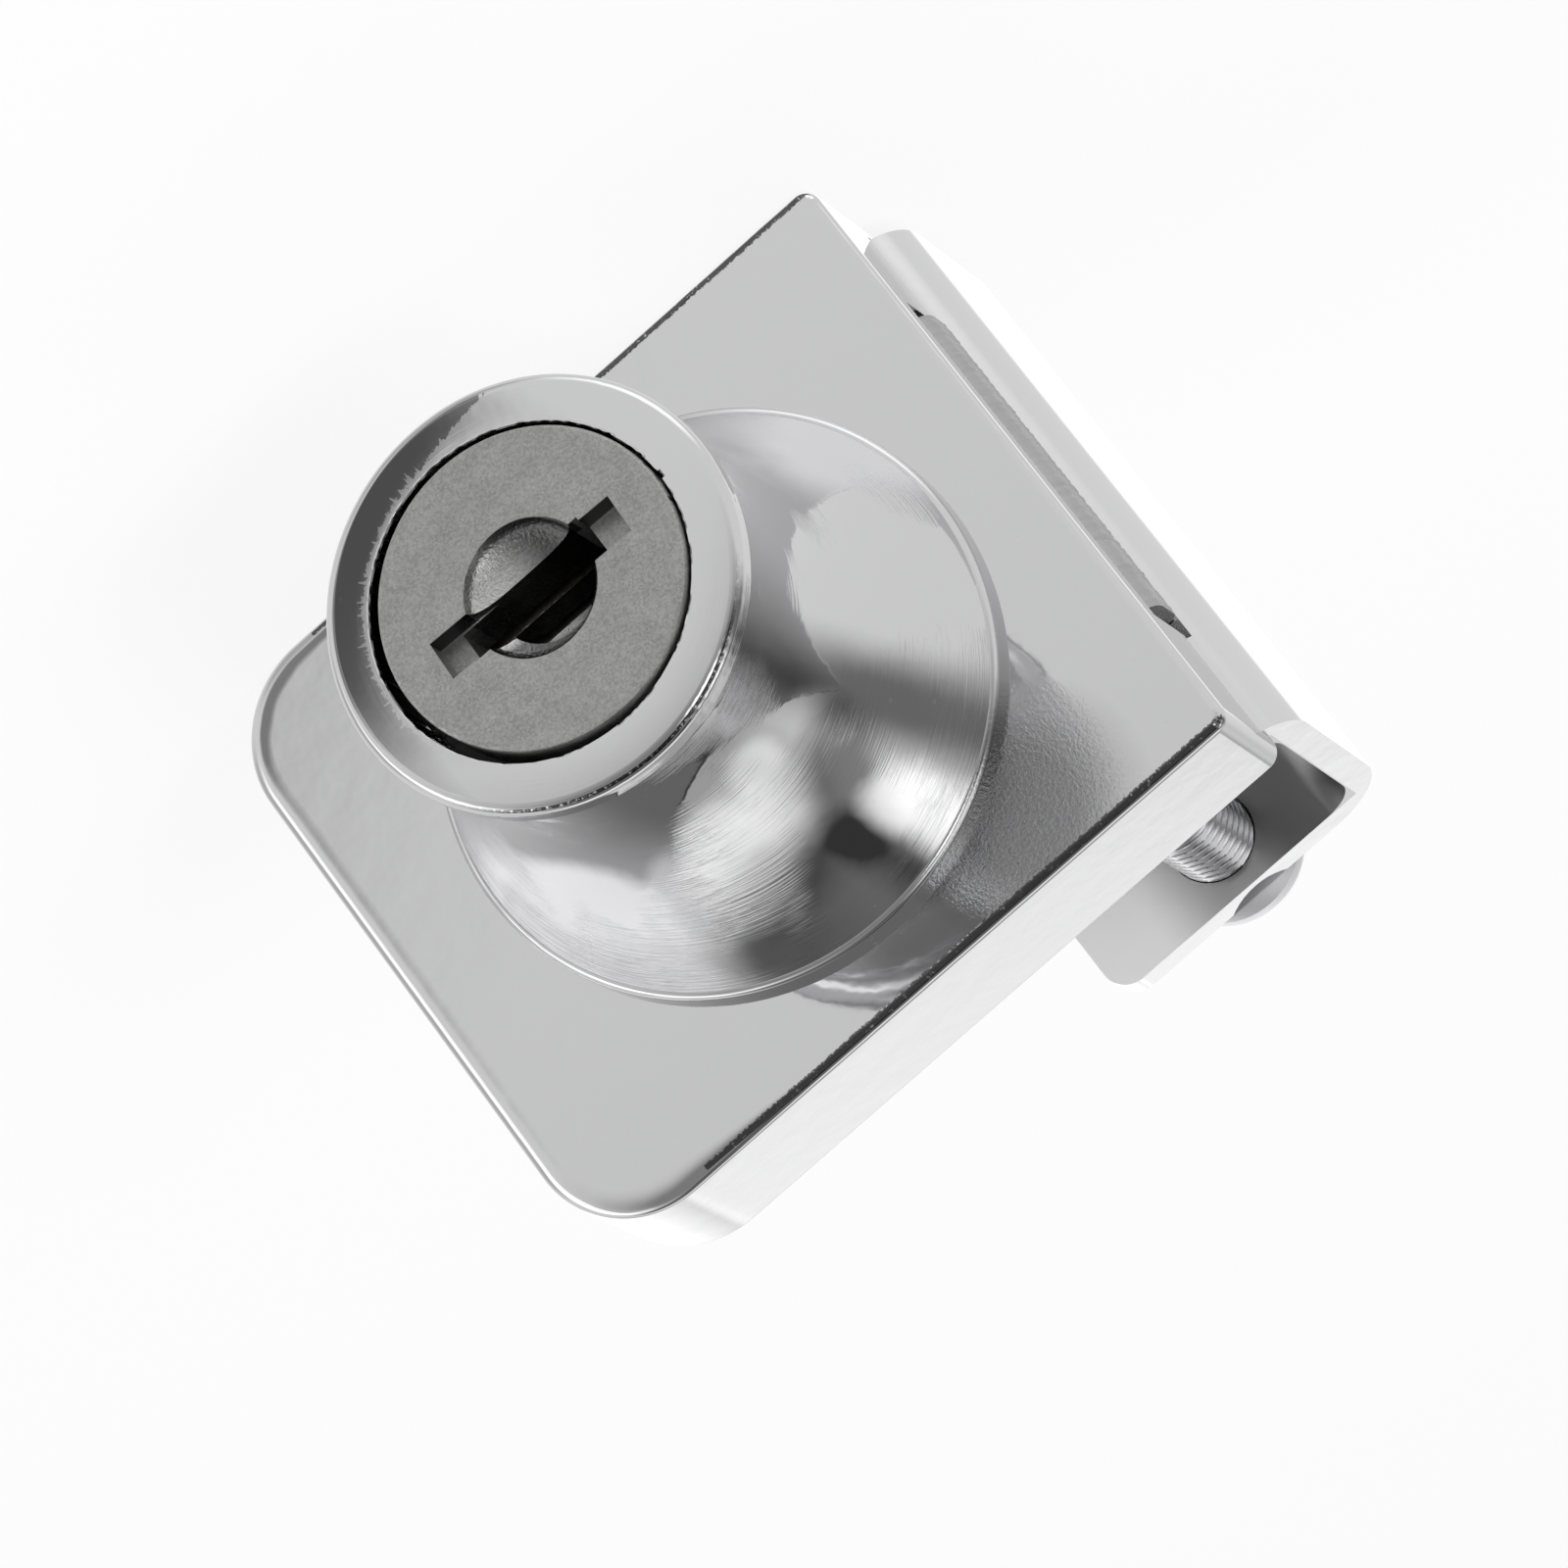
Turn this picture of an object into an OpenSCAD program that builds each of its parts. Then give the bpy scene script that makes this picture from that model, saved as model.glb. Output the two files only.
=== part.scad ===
// Clamp-on lock for a glass door: a cast housing with a keyed plug, a flat sliding bolt and a U clamp
// X runs along the door, Y from the front of the lock into the door, Z up
// The origin is where the axis of the plug meets the face that rests on the glass

/* [Housing plate] */
// Width of the plate along the door
plate_w = 35.3; // [34:0.1:44]
// Height of the plate
plate_h = 32; // [31.6:0.1:44]
// Thickness of the plate
plate_t = 6.8; // [6.4:0.1:9]
// Corner radius on the side away from the clamp
plate_corner_r = 5; // [2:0.1:8]
// Corner radius on the side of the clamp
clamp_corner_r = 0.8; // [0.5:0.1:2]
// Rounding of the front edges
plate_edge_r = 0.45; // [0.2:0.05:0.5]
// Distance from the plug axis to the edge beside the clamp
axis_to_clamp_edge = 16.8; // [15.6:0.1:18]

/* [Boss] */
// Height of the boss in front of the plate
boss_h = 20; // [19:0.1:25]
// Radius of the foot of the boss
boss_foot_r = 13; // [11:0.1:15]
// Height of the upright foot
boss_foot_h = 0.9; // [0.6:0.1:2]
// Chamfer round the foot
foot_chamfer = 0.3; // [0.1:0.05:0.5]
// Radius where the cone meets the neck
neck_foot_r = 8.6; // [8.5:0.1:10]
// Height of the top of the cone above the plate
cone_h = 7.9; // [4:0.1:9]
// Height of the curve from the cone into the neck
neck_blend_h = 2; // [1:0.1:3]
// Smallest radius of the neck
neck_r = 8.3; // [8.2:0.1:8.6]
// Radius of the flange at the front
flange_r = 9.3; // [8.8:0.1:12]
// Height of the flange and of the curve under it
flange_h = 3.4; // [2:0.1:5]
// Thickness of the flange rim
rim_t = 1.2; // [0.8:0.1:1.8]
// Rounding of the front edge of the flange
flange_lip_r = 0.5; // [0.2:0.05:0.6]

/* [Plug] */
// Radius of the mouth of the bore
mouth_r = 7.15; // [7:0.05:7.6]
// Depth of the mouth
mouth_depth = 2.2; // [1:0.1:4]
// Radius of the plug body
plug_r = 6.65; // [6.5:0.05:6.75]
// Radial running clearance of the plug body
plug_clearance = 0.05; // [0.02:0.01:0.1]
// Visible gap round the plug head
head_gap = 0.2; // [0.1:0.05:0.4]
// How far the plug face stands out of the flange
plug_proud = 0.3; // [0:0.1:0.6]
// Length of the keyway across the face
keyway_l = 9.4; // [8:0.05:10]
// Width of the keyway
keyway_w = 1.9; // [1.4:0.1:2.2]
// Length of the deep middle of the keyway
keyway_deep_l = 6.9; // [5:0.1:7]
// Depth of the shallow ends of the keyway
keyway_end_depth = 0.9; // [0.5:0.1:1.5]
// Depth of the keyway
keyway_depth = 17.2; // [14:0.1:18]
// Radius of the round hollow in the face
hollow_r = 3; // [2:0.1:3.4]
// Depth of the round hollow
hollow_depth = 1.3; // [0.6:0.1:2]
// Width of the index notch beside the plug
notch_w = 0.7; // [0.4:0.1:1.2]
// Depth of the index notch
notch_depth = 1; // [0.5:0.1:1.5]

/* [Wafers] */
// Number of wafers
wafer_count = 5; // [2:1:5]
// Thickness of a wafer
wafer_t = 0.8; // [0.6:0.05:0.9]
// Spacing of the wafers along the plug
wafer_pitch = 2.5; // [2.2:0.1:2.7]
// Height of a wafer
wafer_h = 3.9; // [3.6:0.1:4.1]
// How far a wafer moves out of the plug
wafer_travel = 0.5; // [0.3:0.05:0.55]
// Depth of the first wafer behind the plug face
first_wafer = 3.6; // [3.2:0.1:4.4]
// Sliding clearance of a wafer
wafer_clearance = 0.08; // [0.05:0.01:0.1]
// Length of the ear of a wafer
ear_l = 1.2; // [1:0.1:1.4]
// Room beyond a wafer that is pushed out
wafer_room = 0.2; // [0.1:0.05:0.25]
// Distance of the wafer grooves in the housing from the shoulder of the bore
groove_start = 0.4; // [0.3:0.1:1]
// Outer radius of a wafer spring
spring_r = 0.42; // [0.35:0.01:0.45]
// Wire radius of a wafer spring
wire_r = 0.08; // [0.06:0.01:0.09]
// Turns of a wafer spring
spring_turns = 5; // [3:1:6]
// Length of a wafer spring
spring_l = 2.2; // [1.6:0.1:2.4]

/* [Retaining clip and crank pin] */
// Thickness of the retaining clip
clip_t = 0.6; // [0.5:0.05:0.8]
// Outer radius of the retaining clip
clip_r = 7.7; // [7.3:0.1:7.9]
// Width of the opening of the clip
clip_opening = 6.8; // [5:0.1:8]
// Room round the clip
clip_room = 0.3; // [0.2:0.05:0.4]
// Depth of the clip groove in the plug
clip_groove = 0.75; // [0.5:0.05:1]
// Radius of the crank pin
pin_r = 1.2; // [0.9:0.05:1.3]
// Length of the pin inside the plug
pin_seat = 4; // [3:0.1:5]

/* [Bolt] */
// Travel of the bolt for a quarter turn
bolt_travel = 6; // [4:0.1:6.4]
// Height of the bolt
bolt_h = 18.4; // [16.8:0.1:18.6]
// Thickness of the bolt
bolt_t = 2.9; // [2.4:0.1:3.1]
// How far the drawn-back bolt stands out of the plate
bolt_out = 0.3; // [0.1:0.05:0.6]
// Length of the bolt
bolt_l = 25.1; // [24:0.1:25.3]
// Height of the step in the corner of the bolt
bolt_step_h = 1.2; // [0.5:0.1:2]
// Length of that step
bolt_step_l = 1.8; // [0.5:0.1:3]
// Sliding clearance round the bolt
bolt_clearance = 0.2; // [0.1:0.05:0.3]
// Gap behind the bolt
bolt_rear_gap = 0.1; // [0.05:0.01:0.15]
// Gap in front of the bolt
bolt_front_gap = 1.2; // [0.6:0.05:1.3]
// Gap beyond the inner end of the bolt
bolt_tail_gap = 0.6; // [0.3:0.1:0.8]
// Side clearance of the crank pin in the bolt
yoke_clearance = 0.2; // [0.16:0.01:0.3]

/* [Clamp bracket] */
// Sheet thickness
sheet_t = 1.4; // [1.3:0.05:1.6]
// Height of the bracket
bracket_h = 29.8; // [29:0.1:30.2]
// Outer bend radius
bend_r = 3; // [2:0.1:3.2]
// Gap between the glass face and the rear leg
jaw_gap = 11; // [9:0.1:16]
// Length of the rear leg from the outside of the web
rear_leg_l = 15; // [13:0.1:20]
// Corner radius of the rear leg
rear_corner_r = 1.3; // [1:0.1:4]
// Length of the front leg from the outside of the web
front_leg_l = 31.4; // [31:0.1:32]
// Corner radius of the front leg
front_corner_r = 2; // [1:0.1:3]
// Depth of the bolt channel in the front leg
channel_depth = 0.55; // [0.3:0.05:0.7]

/* [Screws] */
// Thread radius of the clamp screws
clamp_screw_r = 2; // [1.5:0.1:2.5]
// Length of the clamp screws under the head
clamp_screw_l = 7.8; // [6:0.1:8.5]
// Head radius of the clamp screws
clamp_head_r = 3.45; // [3:0.05:3.6]
// Head height of the clamp screws
clamp_head_h = 2.1; // [1.6:0.1:2.6]
// Thread pitch of the clamp screws
clamp_pitch = 0.7; // [0.5:0.1:0.8]
// Depth of the thread
thread_depth = 0.35; // [0.2:0.05:0.4]
// Plain length under the head
thread_start = 0.5; // [0.3:0.1:1]
// Height of the upright edge of the clamp screw head
head_edge_h = 0.6; // [0.3:0.1:1]
// Length of the cross recess of the clamp screws
clamp_recess_l = 3.6; // [3:0.1:4.2]
// Width of that recess
clamp_recess_w = 0.8; // [0.6:0.05:1]
// Depth of that recess
clamp_recess_depth = 1.1; // [0.8:0.1:1.4]
// Distance of the clamp screws from the outside of the web
clamp_screw_x = 7.55; // [7:0.1:9]
// Distance of the clamp screws from the ends of the bracket
clamp_screw_inset = 2.9; // [2.8:0.05:5]
// Shank radius of the bracket screws
bracket_screw_r = 1.25; // [1:0.05:1.4]
// Head radius of the bracket screws
bracket_head_r = 2.3; // [2:0.1:2.4]
// Length of the bracket screws
bracket_screw_l = 4.4; // [3.5:0.1:4.8]
// Distance of the bracket screws from the ends of the bracket
bracket_screw_inset = 2.95; // [2.7:0.05:3.2]
// Distance of the first bracket screws from the bend
bracket_screw_near = 4.4; // [3.8:0.1:6]
// Distance of the other bracket screws from the end of the front leg
bracket_screw_far = 2.8; // [2.7:0.1:3.6]
// Depth of the screw heads below the glass face
screw_sink = 0.1; // [0:0.05:0.15]
// Length of the cross recess of the bracket screws
bracket_recess_l = 2.4; // [2:0.1:2.8]
// Width of that recess
bracket_recess_w = 0.5; // [0.4:0.05:0.7]
// Depth of that recess
bracket_recess_depth = 0.7; // [0.4:0.05:0.8]

/* [Hidden] */
$fn = 96;
eps = 0.01;
fit_gap = 0.05;
press_gap = 0.02;
over = 1;

plate_front = -plate_t;
flange_front = plate_front - boss_h;
plug_front = flange_front - plug_proud;
clamp_edge = -axis_to_clamp_edge;
far_edge = clamp_edge + plate_w;

web_inner = clamp_edge - fit_gap;
web_outer = web_inner - sheet_t;
bend_x = web_outer + bend_r;
leg_front = -sheet_t;
rear_leg_y = jaw_gap;
rear_leg_end = web_outer + rear_leg_l;
front_leg_end = web_outer + front_leg_l;

bolt_rear = leg_front + channel_depth - bolt_rear_gap;
bolt_front = bolt_rear - bolt_t;
chamber_front = bolt_front - bolt_front_gap;
chamber_half = bolt_h / 2 + bolt_clearance;
bolt_tip = clamp_edge - bolt_out;
bolt_tail = bolt_tip + bolt_l;
chamber_tail = bolt_tail + bolt_tail_gap;

bore_r = plug_r + plug_clearance;
head_r = mouth_r - head_gap;
shoulder_y = flange_front + mouth_depth;
plug_rear = bolt_front - bolt_clearance;
clip_rear = chamber_front - fit_gap;
clip_front = clip_rear - clip_t;
clip_pocket_front = clip_front - fit_gap;
groove_r = plug_r - clip_groove;

crank_r = bolt_travel / sqrt(2);
crank_offset = bolt_travel / 2;
pin_front = plug_rear - pin_seat;
pin_rear = bolt_rear - fit_gap;

slot_t = wafer_t + 2 * wafer_clearance;
slot_h = wafer_h + 2 * wafer_clearance;
ear_h = 2 * (spring_r + fit_gap);
groove_depth = wafer_travel + wafer_room;

bracket_screw_z = bracket_h / 2 - bracket_screw_inset;
bracket_screw_xs = [bend_x + bracket_screw_near, front_leg_end - bracket_screw_far];
clamp_screw_z = bracket_h / 2 - clamp_screw_inset;
clamp_x = web_outer + clamp_screw_x;

// Turns a shape drawn along Z so that it runs along Y
module along_y() {
    rotate([-90, 0, 0]) children();
}

// Round bar along Y between two depths
module bar_y(r, from, to) {
    translate([0, from, 0]) along_y() cylinder(r = r, h = to - from);
}

// Box between two corners
module block(low, high) {
    translate(low) cube(high - low);
}

// Centre and radius of each corner of the plate, seen from the front
function plate_corners() = [
    [clamp_edge + clamp_corner_r, plate_h / 2 - clamp_corner_r, clamp_corner_r],
    [clamp_edge + clamp_corner_r, -plate_h / 2 + clamp_corner_r, clamp_corner_r],
    [far_edge - plate_corner_r, -plate_h / 2 + plate_corner_r, plate_corner_r],
    [far_edge - plate_corner_r, plate_h / 2 - plate_corner_r, plate_corner_r]
];

// Outline of the plate, drawn smaller by an inset
module plate_outline(inset) {
    low_x = clamp_edge + inset;
    high_x = far_edge - inset;
    high_z = plate_h / 2 - inset;
    clamp_z = plate_h / 2 - clamp_corner_r;
    far_z = plate_h / 2 - plate_corner_r;
    clamp_x_in = clamp_edge + clamp_corner_r;
    far_x_in = far_edge - plate_corner_r;
    polygon([
        [low_x, -clamp_z], [clamp_x_in, -high_z], [far_x_in, -high_z], [high_x, -far_z],
        [high_x, far_z], [far_x_in, high_z], [clamp_x_in, high_z], [low_x, clamp_z]
    ]);
    for (c = plate_corners()) translate([c[0], -c[1]]) circle(r = c[2] - inset);
}

// Round bar along X or Z at the front edge of the plate
module edge_bar(from, to) {
    run = to - from;
    length = norm(run);
    translate([from[0], plate_front + plate_edge_r, from[1]])
        rotate(run[0] > run[1] ? [0, 90, 0] : [0, 0, 0])
            cylinder(r = plate_edge_r, h = length, $fn = 48);
}

// Plate with rounded front edges
module plate_body() {
    r = plate_edge_r;
    far_z = plate_h / 2 - plate_corner_r;
    clamp_z = plate_h / 2 - clamp_corner_r;
    translate([0, plate_front + r, 0]) along_y() linear_extrude(plate_t - r) plate_outline(0);
    translate([0, plate_front, 0]) along_y() linear_extrude(plate_t) plate_outline(r);
    for (side = [-1, 1])
        edge_bar([clamp_edge + clamp_corner_r, side * (plate_h / 2 - r)],
                 [far_edge - plate_corner_r, side * (plate_h / 2 - r)]);
    edge_bar([clamp_edge + r, -clamp_z], [clamp_edge + r, clamp_z]);
    edge_bar([far_edge - r, -far_z], [far_edge - r, far_z]);
    for (c = plate_corners())
        translate([c[0], plate_front + r, c[1]]) along_y()
            rotate_extrude() intersection() {
                translate([c[2] - r, 0]) circle(r = r, $fn = 48);
                translate([0, -r]) square([c[2], 2 * r]);
            }
}

// Points on the curve under the flange, from the neck out to the rim
function flare_points(steps) = [
    for (i = [0:steps])
        let (a = 90 * i / steps)
        [neck_r + (flange_r - neck_r) * (1 - cos(a)), boss_h - flange_h + (flange_h - rim_t) * sin(a)]
];

// Points on the curve from the top of the cone into the neck
function neck_points(steps) = [
    for (i = [1:steps])
        let (a = 90 * i / steps)
        [neck_r + (neck_foot_r - neck_r) * (1 - sin(a)), cone_h + neck_blend_h * (1 - cos(a))]
];

// Points on the rounded front edge of the flange
function lip_points(steps) = [
    for (i = [0:steps])
        let (a = 90 * i / steps)
        [flange_r - flange_lip_r * (1 - cos(a)), boss_h - flange_lip_r * (1 - sin(a))]
];

// Half section of the boss, with the height above the plate along Y
module boss_section() {
    polygon(concat(
        [[0, -over], [boss_foot_r, -over], [boss_foot_r, boss_foot_h - foot_chamfer],
         [boss_foot_r - foot_chamfer, boss_foot_h], [neck_foot_r, cone_h]],
        neck_points(4),
        flare_points(8),
        lip_points(5),
        [[0, boss_h]]
    ));
}

// Cast zinc housing: plate and boss with the bore, the bolt chamber and the seat of the clamp
module housing() {
    color("silver") difference() {
        union() {
            plate_body();
            translate([0, plate_front, 0]) rotate([90, 0, 0]) rotate_extrude($fn = 128) boss_section();
        }
        bar_y(mouth_r, flange_front - over, shoulder_y);
        bar_y(bore_r, shoulder_y - over, chamber_front + over);
        bar_y(clip_r + clip_room, clip_pocket_front, chamber_front + over);
        for (turn = [0, 90])
            rotate([0, turn, 0])
                block([-bore_r - groove_depth, shoulder_y + groove_start, -slot_h / 2],
                      [bore_r + groove_depth, chamber_front + over, slot_h / 2]);
        block([-mouth_r - notch_w / 2, flange_front - over, -notch_w / 2],
              [0, flange_front + notch_depth, notch_w / 2]);
        block([clamp_edge - over, chamber_front, -chamber_half], [chamber_tail, over, chamber_half]);
        front_leg_space(fit_gap);
        bracket_screw_places()
            bar_y(bracket_screw_r + press_gap, -bracket_screw_l - screw_sink - fit_gap, over);
    }
}

// Space that the front leg fills in the back of the housing
module front_leg_space(gap) {
    half = bracket_h / 2 + gap;
    end = front_leg_end + gap;
    r = front_corner_r;
    block([clamp_edge - over, leg_front - gap, -half], [end - r, over, half]);
    block([clamp_edge - over, leg_front - gap, -half + r], [end, over, half - r]);
    for (side = [-1, 1])
        translate([end - r, 0, side * (half - r)]) bar_y(r, leg_front - gap, over);
}

// Depth of the middle of a wafer
function wafer_y(number) = plug_front + first_wafer + (number - 1) * wafer_pitch + slot_t / 2;

// Side to which a wafer is pushed: odd wafers to +X, even ones to -X
function wafer_side(number) = number % 2 == 1 ? 1 : -1;

// Keyway, hollow and pockets that the key enters
module key_space() {
    cap_r = (hollow_r * hollow_r + hollow_depth * hollow_depth) / (2 * hollow_depth);
    block([-keyway_deep_l / 2, plug_front - over, -keyway_w / 2],
          [keyway_deep_l / 2, plug_front + keyway_depth, keyway_w / 2]);
    block([-keyway_l / 2, plug_front - over, -keyway_w / 2],
          [keyway_l / 2, plug_front + keyway_end_depth, keyway_w / 2]);
    translate([0, plug_front + hollow_depth - cap_r, 0]) sphere(r = cap_r);
}

// Turned zinc plug with the keyway, the wafer slots and the seat of the crank pin
module plug() {
    color("darkgray") difference() {
        union() {
            bar_y(head_r, plug_front, shoulder_y - fit_gap);
            bar_y(plug_r, plug_front + over, clip_front - fit_gap);
            bar_y(groove_r, clip_front - over, plug_rear);
            bar_y(plug_r, clip_rear + press_gap, plug_rear);
        }
        key_space();
        for (i = [1:wafer_count]) wafer_slot(i);
        crank_place() bar_y(pin_r + press_gap, pin_front - fit_gap, plug_rear + over);
    }
}

// Slot across the plug for a wafer, with the pocket of its ear and spring
module wafer_slot(number) {
    y = wafer_y(number);
    side = wafer_side(number);
    block([-plug_r - over, y - slot_t / 2, -slot_h / 2], [plug_r + over, y + slot_t / 2, slot_h / 2]);
    towards(side)
        block([-spring_l - press_gap, y - slot_t / 2, 0],
              [ear_l + wafer_travel + fit_gap, y + slot_t / 2, slot_h / 2 + ear_h + wafer_clearance]);
}

// Mirrors what is pushed to -X
module towards(side) {
    mirror([side < 0 ? 1 : 0, 0, 0]) children();
}

// Brass wafer with the window that the key lifts and the ear that its spring pushes
module wafer(number) {
    y = wafer_y(number);
    color("goldenrod") towards(wafer_side(number)) difference() {
        union() {
            intersection() {
                block([-plug_r, y - wafer_t / 2, -wafer_h / 2], [plug_r, y + wafer_t / 2, wafer_h / 2]);
                bar_y(plug_r, y - wafer_t, y + wafer_t);
            }
            block([0, y - wafer_t / 2, 0], [ear_l, y + wafer_t / 2, wafer_h / 2 + ear_h]);
        }
        block([-keyway_deep_l / 2 - wafer_travel, y - wafer_t, -keyway_w / 2 - wafer_clearance],
              [keyway_deep_l / 2, y + wafer_t, keyway_w / 2 + wafer_clearance]);
    }
}

// Points of one ring round the wire of a spring
function wire_ring(turn_angle, along, sides) = [
    for (j = [0:sides - 1])
        let (a = 360 * j / sides, r = spring_r - wire_r + wire_r * cos(a))
        [along + wire_r * sin(a), r * cos(turn_angle), r * sin(turn_angle)]
];

// Coil of wire along X from 0 to the spring length
module coil() {
    sides = 6;
    per_turn = 12;
    rings = spring_turns * per_turn;
    run = spring_l - 2 * wire_r;
    points = [
        for (i = [0:rings]) each wire_ring(360 * i / per_turn, wire_r + run * i / rings, sides)
    ];
    walls = [
        for (i = [0:rings - 1], j = [0:sides - 1])
            let (k = (j + 1) % sides)
            [i * sides + j, i * sides + k, (i + 1) * sides + k, (i + 1) * sides + j]
    ];
    ends = [
        [for (j = [sides - 1:-1:0]) j],
        [for (j = [0:sides - 1]) rings * sides + j]
    ];
    polyhedron(points, concat(walls, ends));
}

// Spring of one wafer, pressed between the plug and the wafer's ear
module wafer_spring(number) {
    z = wafer_h / 2 + ear_h / 2 + wafer_clearance / 2;
    color("dimgray") towards(wafer_side(number))
        translate([-spring_l, wafer_y(number), z]) coil();
}

// Place of the crank pin with the bolt drawn back
module crank_place() {
    translate([crank_offset, 0, -crank_offset]) children();
}

// Steel pin pressed into the back of the plug, which drives the bolt
module crank_pin() {
    color("slategray") crank_place() bar_y(pin_r, pin_front, pin_rear);
}

// Open ring that holds the plug in the housing
module retaining_clip() {
    color("gray") difference() {
        bar_y(clip_r, clip_front, clip_rear);
        bar_y(groove_r + press_gap, clip_front - over, clip_rear + over);
        block([-clip_opening / 2, clip_front - over, 0], [clip_opening / 2, clip_rear + over, clip_r + over]);
    }
}

// Flat steel bolt with the cross slot that the crank pin runs in
module bolt() {
    yoke_r = pin_r + yoke_clearance;
    yoke_high = -crank_offset + yoke_clearance;
    yoke_low = -crank_r - yoke_clearance;
    color("lightsteelblue") difference() {
        block([bolt_tip, bolt_front, -bolt_h / 2], [bolt_tail, bolt_rear, bolt_h / 2]);
        block([bolt_tip - over, bolt_front - over, bolt_h / 2 - bolt_step_h],
              [bolt_tip + bolt_step_l, bolt_rear + over, bolt_h / 2 + over]);
        block([crank_offset - yoke_r, bolt_front - over, yoke_low],
              [crank_offset + yoke_r, bolt_rear + over, yoke_high]);
        for (z = [yoke_low, yoke_high])
            translate([crank_offset, 0, z]) bar_y(yoke_r, bolt_front - over, bolt_rear + over);
    }
}

// Quarter of a bent sheet round a bend centre, towards -X and one side in Y
module bend(side) {
    intersection() {
        difference() {
            circle(r = bend_r);
            circle(r = bend_r - sheet_t);
        }
        translate([-bend_r - over, side > 0 ? 0 : -bend_r - over]) square(bend_r + over);
    }
}

// U section of the clamp bracket, seen along Z
module bracket_section() {
    front_bend_y = leg_front + bend_r;
    rear_bend_y = rear_leg_y + sheet_t - bend_r;
    translate([bend_x - eps, leg_front]) square([front_leg_end - bend_x + eps, sheet_t]);
    translate([bend_x, front_bend_y]) bend(-1);
    translate([web_outer, front_bend_y - eps]) square([sheet_t, rear_bend_y - front_bend_y + 2 * eps]);
    translate([bend_x, rear_bend_y]) bend(1);
    translate([bend_x - eps, rear_leg_y]) square([rear_leg_end - bend_x + eps, sheet_t]);
}

// What rounds the two corners at the end of a leg takes away
module corner_cut(end, r, from, to) {
    for (side = [-1, 1])
        translate([end - r, 0, side * (bracket_h / 2 - r)]) difference() {
            block([0, from, side > 0 ? 0 : -r - over], [r + over, to, side > 0 ? r + over : 0]);
            bar_y(r, from - over, to + over);
        }
}

// Bent steel clamp bracket, with its front leg under the housing and its rear leg behind the glass
module clamp_bracket() {
    color("gainsboro") difference() {
        translate([0, 0, -bracket_h / 2]) linear_extrude(bracket_h) bracket_section();
        corner_cut(front_leg_end, front_corner_r, leg_front - over, over);
        corner_cut(rear_leg_end, rear_corner_r, rear_leg_y - over, rear_leg_y + sheet_t + over);
        block([web_outer - over, leg_front - over, -chamber_half],
              [chamber_tail, leg_front + channel_depth, chamber_half]);
        bracket_screw_places() {
            bar_y(bracket_screw_r + fit_gap, leg_front - over, over);
            screw_cone();
        }
        clamp_screw_places() bar_y(clamp_screw_r + fit_gap, rear_leg_y - over, rear_leg_y + sheet_t + over);
    }
}

// Puts a child at each bracket screw
module bracket_screw_places() {
    for (x = bracket_screw_xs, side = [-1, 1])
        translate([x, 0, side * bracket_screw_z]) children();
}

// Puts a child at each clamp screw
module clamp_screw_places() {
    for (side = [-1, 1])
        translate([clamp_x, 0, side * clamp_screw_z]) children();
}

// Countersink for a bracket screw, which puts the head just below the glass face
module screw_cone() {
    depth = bracket_head_r - bracket_screw_r;
    translate([0, -depth - screw_sink, 0]) along_y()
        cylinder(r1 = bracket_screw_r + press_gap, r2 = bracket_head_r + press_gap, h = depth + eps);
    bar_y(bracket_head_r + press_gap, -screw_sink, over);
}

// Cross of a screwdriver recess, cut from a face at a depth
module cross_recess(span, width, from, to) {
    block([-span / 2, from, -width / 2], [span / 2, to, width / 2]);
    block([-width / 2, from, -span / 2], [width / 2, to, span / 2]);
}

// One countersunk bracket screw
module bracket_screw() {
    depth = bracket_head_r - bracket_screw_r;
    difference() {
        union() {
            bar_y(bracket_screw_r, -bracket_screw_l - screw_sink, -depth);
            translate([0, -depth - screw_sink, 0]) along_y()
                cylinder(r1 = bracket_screw_r, r2 = bracket_head_r, h = depth);
        }
        cross_recess(bracket_recess_l, bracket_recess_w, -screw_sink - bracket_recess_depth, over);
    }
}

// Four countersunk screws that hold the bracket in the housing
module bracket_screws() {
    color("gray") bracket_screw_places() bracket_screw();
}

// Half section of a clamp screw, with the distance from the seat of the head along Y
module clamp_screw_section() {
    root_r = clamp_screw_r - thread_depth;
    turns = floor((clamp_screw_l - thread_start - thread_depth) / clamp_pitch);
    dome = [
        for (i = [0:8])
            let (a = 90 * i / 8)
            [clamp_head_r * sin(a), head_edge_h + (clamp_head_h - head_edge_h) * cos(a)]
    ];
    thread = [
        for (i = [0:turns - 1]) each [
            [clamp_screw_r, -thread_start - i * clamp_pitch],
            [root_r, -thread_start - (i + 0.5) * clamp_pitch]
        ]
    ];
    polygon(concat(
        dome,
        [[clamp_head_r, 0], [clamp_screw_r, 0]],
        thread,
        [[clamp_screw_r, -thread_start - turns * clamp_pitch], [root_r, -clamp_screw_l], [0, -clamp_screw_l]]
    ));
}

// Clamp screw with a domed head, turned in through the rear leg
module clamp_screw(side) {
    seat = rear_leg_y + sheet_t + fit_gap;
    color("silver") translate([clamp_x, seat, side * clamp_screw_z]) difference() {
        along_y() rotate_extrude() clamp_screw_section();
        cross_recess(clamp_recess_l, clamp_recess_w, clamp_head_h - clamp_recess_depth, clamp_head_h + over);
    }
}

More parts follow.
